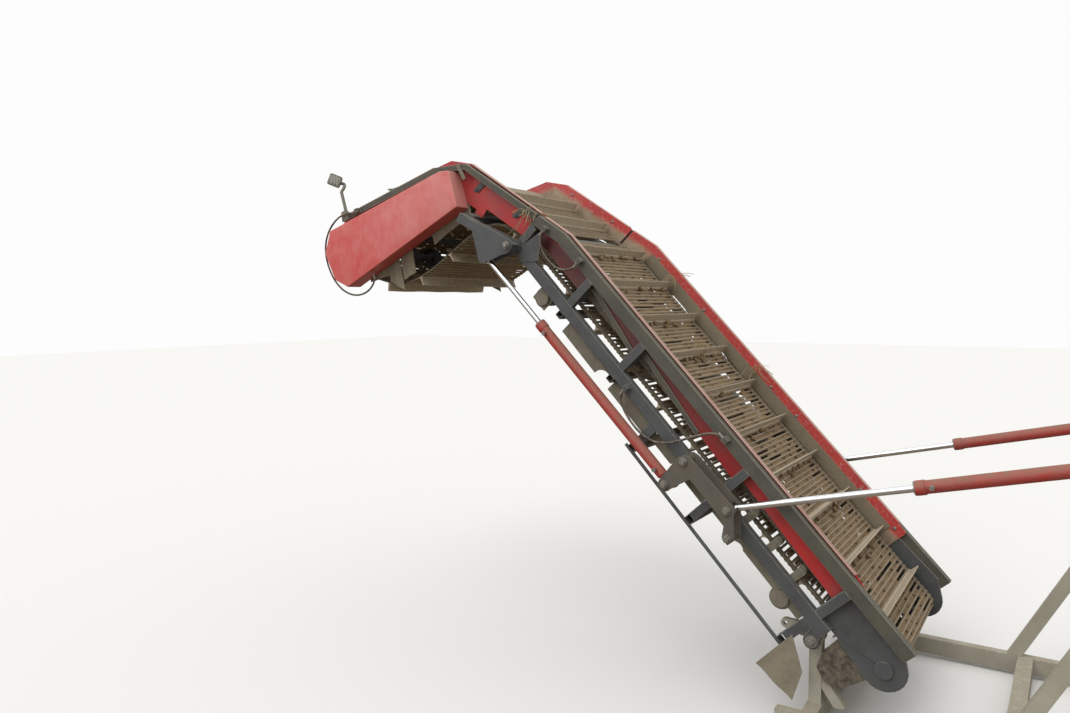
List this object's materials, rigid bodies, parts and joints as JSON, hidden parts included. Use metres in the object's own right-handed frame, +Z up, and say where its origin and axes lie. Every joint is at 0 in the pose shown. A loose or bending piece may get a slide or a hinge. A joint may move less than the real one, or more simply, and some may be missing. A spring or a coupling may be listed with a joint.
{
  "type": "potato harvester discharge elevator",
  "caption": "Discharge elevator of a self-propelled potato harvester: red-sided web belt on a dark tube frame, with folding head, chain guard, work lamp and hydraulic cylinders.",
  "frame": {"origin": "centre of the four chassis bolts, on the underside of the mounting frame", "axes": "+X from the head towards the harvester, +Y across the belt away from the chain guard, +Z up"},
  "size_m": [5.1891, 1.578, 3.1659],
  "materials": {
    "frame_paint": "dusty anthracite paint",
    "grey_paint": "light grey paint",
    "skirt_paint": "dusty grey-green paint",
    "red_paint": "weathered red paint",
    "pin_steel": "worn steel",
    "rod_chrome": "polished",
    "belt_steel": "dusty steel rods on belting",
    "rubber": "dusty black rubber"
  },
  "bodies": {
    "frame": {"base_rails": "grey_paint", "base_crossbars": "grey_paint", "pivot_posts": "grey_paint", "masts": "grey_paint", "mast_struts": "grey_paint", "mast_pins": "pin_steel"},
    "boom": {"pivot_pins": "pin_steel", "bottom_chords": "frame_paint", "top_chords": "frame_paint", "uprights": "frame_paint", "legs": "frame_paint", "boom_crossbars": "frame_paint", "side_walls": "red_paint", "wall_liners": "rubber", "bay_braces": "frame_paint", "skirts": "skirt_paint", "foot_cheeks": "frame_paint", "foot_boot": "rubber", "foot_roller": "frame_paint", "idler_rollers": "skirt_paint", "runner_strips": "rubber", "boom_web": "belt_steel", "boom_flights": "rubber", "knee_plates": "frame_paint", "knee_bolts": "pin_steel", "knee_hose": "rubber", "bend_hose": "rubber", "fold_barrels": "red_paint"},
    "head": {"head_arms": "frame_paint", "lever_brackets": "frame_paint", "hinge_pins": "pin_steel", "head_rails": "skirt_paint", "head_walls": "red_paint", "head_crossbars": "frame_paint", "drive_shaft": "frame_paint", "head_web": "belt_steel", "head_flights": "rubber", "drive_guard": "red_paint", "curtain": "rubber", "lamp_post": "frame_paint", "work_lamp": "skirt_paint", "nose_hose": "rubber"},
    "lift_barrels": {"lift_barrels": "red_paint"},
    "lift_rods": {"lift_rods": "rod_chrome"},
    "fold_rods": {"fold_rods": "rod_chrome"}
  },
  "joints": [
    {"name": "lift", "type": "hinge", "parent": "frame", "child": "boom", "pos_m": [-0.765, 0, 0.48], "axis": [0, 1, 0], "range_deg": [-18, 22]},
    {"name": "fold", "type": "hinge", "parent": "boom", "child": "head", "pos_m": [-2.58831, 0, 2.56723], "axis": [0, 1, 0], "range_deg": [-55, 0]},
    {"name": "lift_swing", "type": "hinge", "parent": "frame", "child": "lift_barrels", "pos_m": [0.765, 0, 1.598], "axis": [0, 1, 0], "range_deg": [-3, 4]},
    {"name": "lift_stroke", "type": "slide", "parent": "lift_barrels", "child": "lift_rods", "axis": [-0.9715, 0, -0.2369], "range_m": [-0.3, 0.25]},
    {"name": "fold_stroke", "type": "slide", "parent": "boom", "child": "fold_rods", "axis": [-0.697, 0, 0.7171], "range_m": [-0.19, 0]}
  ],
  "couplings": [
    {"joint": "lift_swing", "follows": "lift", "ratio": 0.0996},
    {"joint": "lift_stroke", "follows": "lift", "m_per_rad": -0.728},
    {"joint": "fold_stroke", "follows": "fold", "m_per_rad": 0.1905}
  ]
}
